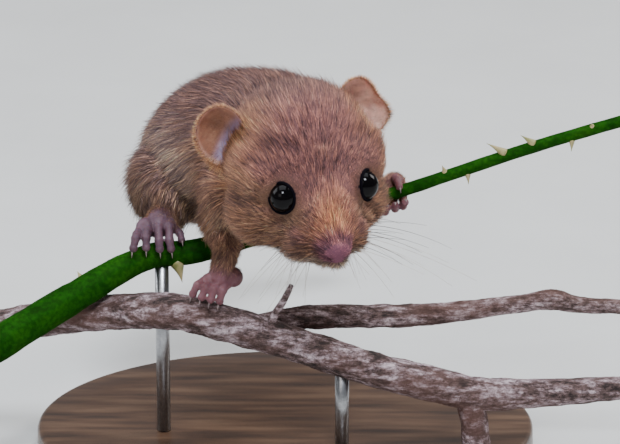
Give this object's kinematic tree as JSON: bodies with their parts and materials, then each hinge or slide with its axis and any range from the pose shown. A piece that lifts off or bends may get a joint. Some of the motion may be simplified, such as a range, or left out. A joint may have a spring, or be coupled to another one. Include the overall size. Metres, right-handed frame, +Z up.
{
  "type": "hazel dormouse model on perches",
  "caption": "Life-size still model of a hazel dormouse crouching on a cut green stem and branch, held by a plain stand with an oval base and rods.",
  "frame": {"origin": "middle of the underside of the stand's base, on the floor", "axes": "+Z up, the animal faces about -Y and its tail trails to +Y, the perches run along X"},
  "size_m": [0.106, 0.0898, 0.067],
  "materials": {
    "fur_brown": "soft short fur, modelled as a closed form",
    "fur_tan": "soft short fur, modelled as a closed form",
    "skin_pink": "bare skin of the hands",
    "foot_mauve": "bare skin of the feet",
    "ear_peach": "thin, nearly bare ear skin",
    "eye_black": "glossy",
    "bark_grey": "rough bark with lichen",
    "stem_green": "smooth green bark",
    "base_wood": "satin, dark stained",
    "rod_metal": "satin"
  },
  "bodies": {
    "root": {"head": "fur_tan", "neck": "fur_brown", "chest": "fur_brown", "abdomen": "fur_brown", "rump": "fur_brown", "tail_base": "fur_brown", "tail_middle": "fur_brown", "tail_tip": "fur_brown", "fore_leg_right": "fur_tan", "fore_leg_left": "fur_tan", "hind_leg_right": "fur_tan", "hind_leg_left": "fur_tan", "hand_right": "skin_pink", "hand_left": "skin_pink", "foot_right": "foot_mauve", "foot_left": "foot_mauve", "ear_right": "ear_peach", "ear_left": "ear_peach", "eye_right": "eye_black", "eye_left": "eye_black", "perch_branch": "bark_grey", "perch_twig": "bark_grey", "perch_stem": "stem_green", "stand_base": "base_wood", "stand_rod_front": "rod_metal", "stand_rod_back": "rod_metal"}
  },
  "joints": []
}
